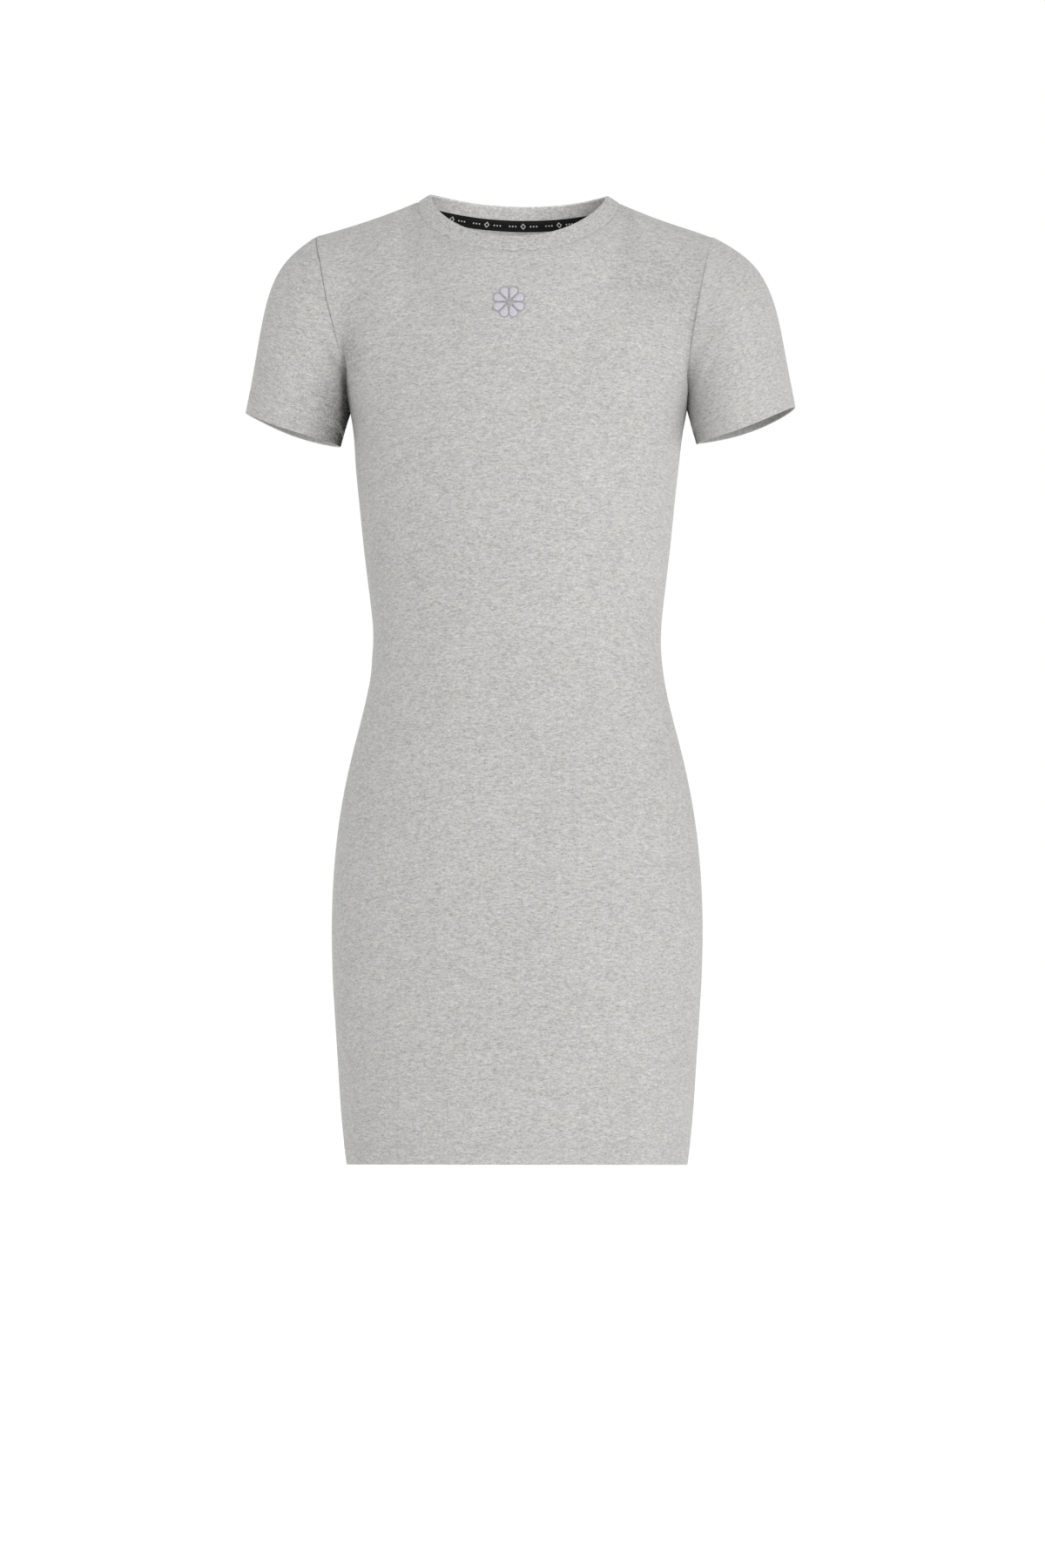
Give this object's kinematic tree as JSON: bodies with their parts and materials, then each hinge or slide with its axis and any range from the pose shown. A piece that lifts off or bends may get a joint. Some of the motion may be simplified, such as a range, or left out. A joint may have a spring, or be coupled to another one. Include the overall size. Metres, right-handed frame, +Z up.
{
  "type": "t-shirt dress",
  "caption": "Short-sleeved, crew-neck, fitted mini t-shirt dress in grey marl jersey, filled out and hollow, with ribless folded neckband, taped back neck and turned-up hems.",
  "frame": {"origin": "midway between the two neck points at the top of the neckband, where the wearer's neck and shoulders carry the dress", "axes": "+Z up, the front faces -Y, +X is the wearer's left"},
  "size_m": [0.5057, 0.2379, 0.8939],
  "materials": {
    "jersey": "matt, heather grey cotton jersey",
    "tape": "matt, black woven tape"
  },
  "bodies": {
    "root": {"front": "jersey", "back": "jersey", "sleeve_left": "jersey", "sleeve_right": "jersey", "neckband": "jersey", "neck_tape": "tape"}
  },
  "joints": []
}
